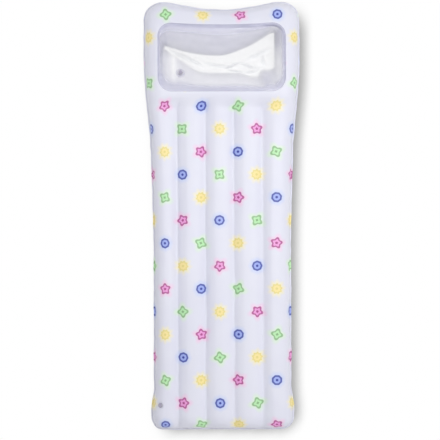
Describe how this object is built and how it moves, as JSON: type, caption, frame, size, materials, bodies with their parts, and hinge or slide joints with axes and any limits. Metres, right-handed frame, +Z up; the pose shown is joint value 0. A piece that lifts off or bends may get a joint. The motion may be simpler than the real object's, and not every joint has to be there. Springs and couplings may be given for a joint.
{
  "type": "pool air mattress",
  "caption": "Inflated pool air mattress with lengthwise tubes, a head ring round a clear window, and push-in valves with plugs.",
  "frame": {"origin": "middle of the ground face under the mattress, at the centre of its length and width", "axes": "+Z up, +Y along the mattress to its head end, +X across it, to the right when it is seen from above with the head end away"},
  "size_m": [0.644, 1.77, 0.128],
  "materials": {
    "printed_vinyl": "soft printed vinyl, satin gloss",
    "plain_vinyl": "soft plain vinyl, satin gloss",
    "clear_film": "clear vinyl film",
    "web_vinyl": "thin vinyl strip",
    "valve_clear": "clear moulded vinyl",
    "valve_plug": "soft moulded vinyl"
  },
  "bodies": {
    "mattress": {"top_sheet": "printed_vinyl", "bottom_sheet": "plain_vinyl", "window_top_film": "clear_film", "window_bottom_film": "clear_film", "tie_web_1": "web_vinyl", "tie_web_2": "web_vinyl", "tie_web_3": "web_vinyl", "tie_web_4": "web_vinyl", "head_bulkhead": "web_vinyl", "body_valve_flange": "valve_clear", "head_valve_flange": "valve_clear"},
    "body_valve_stem": {"body_valve_stem": "valve_clear"},
    "body_valve_plug": {"body_valve_plug": "valve_plug"},
    "body_valve_flap": {"body_valve_flap": "valve_clear"},
    "head_valve_stem": {"head_valve_stem": "valve_clear"},
    "head_valve_plug": {"head_valve_plug": "valve_plug"},
    "head_valve_flap": {"head_valve_flap": "valve_clear"}
  },
  "joints": [
    {"name": "body_valve_stem_slide", "type": "slide", "parent": "mattress", "child": "body_valve_stem", "axis": [-0.438, 0.0479, 0.8977], "range_m": [0, 0.012]},
    {"name": "body_valve_plug_hinge", "type": "hinge", "parent": "body_valve_stem", "child": "body_valve_plug", "pos_m": [-0.25861, -0.78619, 0.11383], "axis": [0.8987, 0, 0.4385], "range_deg": [0, 135]},
    {"name": "body_valve_flap_hinge", "type": "hinge", "parent": "body_valve_stem", "child": "body_valve_flap", "pos_m": [-0.25004, -0.78353, 0.09626], "axis": [-0.8987, 0, -0.4385], "range_deg": [0, 40], "stiffness_Nm_per_rad": 0.0002, "springref_deg": -17.19},
    {"name": "head_valve_stem_slide", "type": "slide", "parent": "mattress", "child": "head_valve_stem", "axis": [0.1003, 0.3277, 0.9394], "range_m": [0, 0.012]},
    {"name": "head_valve_plug_hinge", "type": "hinge", "parent": "head_valve_stem", "child": "head_valve_plug", "pos_m": [-0.16852, 0.58216, 0.12131], "axis": [0.9943, 0, -0.1062], "range_deg": [0, 135]},
    {"name": "head_valve_flap_hinge", "type": "hinge", "parent": "head_valve_stem", "child": "head_valve_flap", "pos_m": [-0.17059, 0.57921, 0.10191], "axis": [-0.9943, 0, 0.1062], "range_deg": [0, 40], "stiffness_Nm_per_rad": 0.0002, "springref_deg": -17.19}
  ]
}
